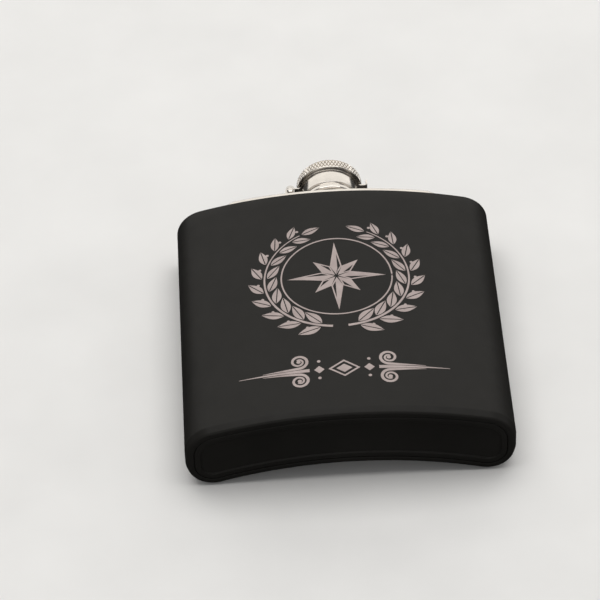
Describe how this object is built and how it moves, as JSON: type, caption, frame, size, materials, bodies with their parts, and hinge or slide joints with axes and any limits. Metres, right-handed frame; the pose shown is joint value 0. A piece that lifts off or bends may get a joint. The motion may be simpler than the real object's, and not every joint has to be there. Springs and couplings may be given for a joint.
{
  "type": "hip flask",
  "caption": "Curved pocket flask with a coated sheet-metal body, a bright shoulder and a knurled screw cap held in the ring of a hinged arm.",
  "frame": {"origin": "under the middle of the whole flask, on the surface that its back edges lie on", "axes": "+Z out of the curved front, +Y from the base to the cap, +X across the width"},
  "size_m": [0.095, 0.1106, 0.0266],
  "materials": {
    "black_coating": "matte powder coat",
    "polished_steel": "polished",
    "satin_steel": "satin",
    "silicone": "matte"
  },
  "bodies": {
    "flask": {"body_wrap": "black_coating", "base_plate": "black_coating", "top_plate": "polished_steel", "spout": "satin_steel", "hinge_bracket": "satin_steel", "hinge_pin": "polished_steel"},
    "arm": {"captive_arm": "polished_steel"},
    "cap": {"cap_shell": "polished_steel", "cap_liner": "satin_steel", "cap_gasket": "silicone"}
  },
  "joints": [
    {"name": "arm_lift", "type": "slide", "parent": "flask", "child": "arm", "axis": [0, 1, 0], "range_m": [0, 0.005]},
    {"name": "cap_turn", "type": "hinge", "parent": "arm", "child": "cap", "pos_m": [0, 0.04695, 0.016], "axis": [0, 1, 0], "range_deg": [0, 900]}
  ],
  "couplings": [
    {"joint": "arm_lift", "follows": "cap_turn", "m_per_rad": 0.00031831}
  ]
}
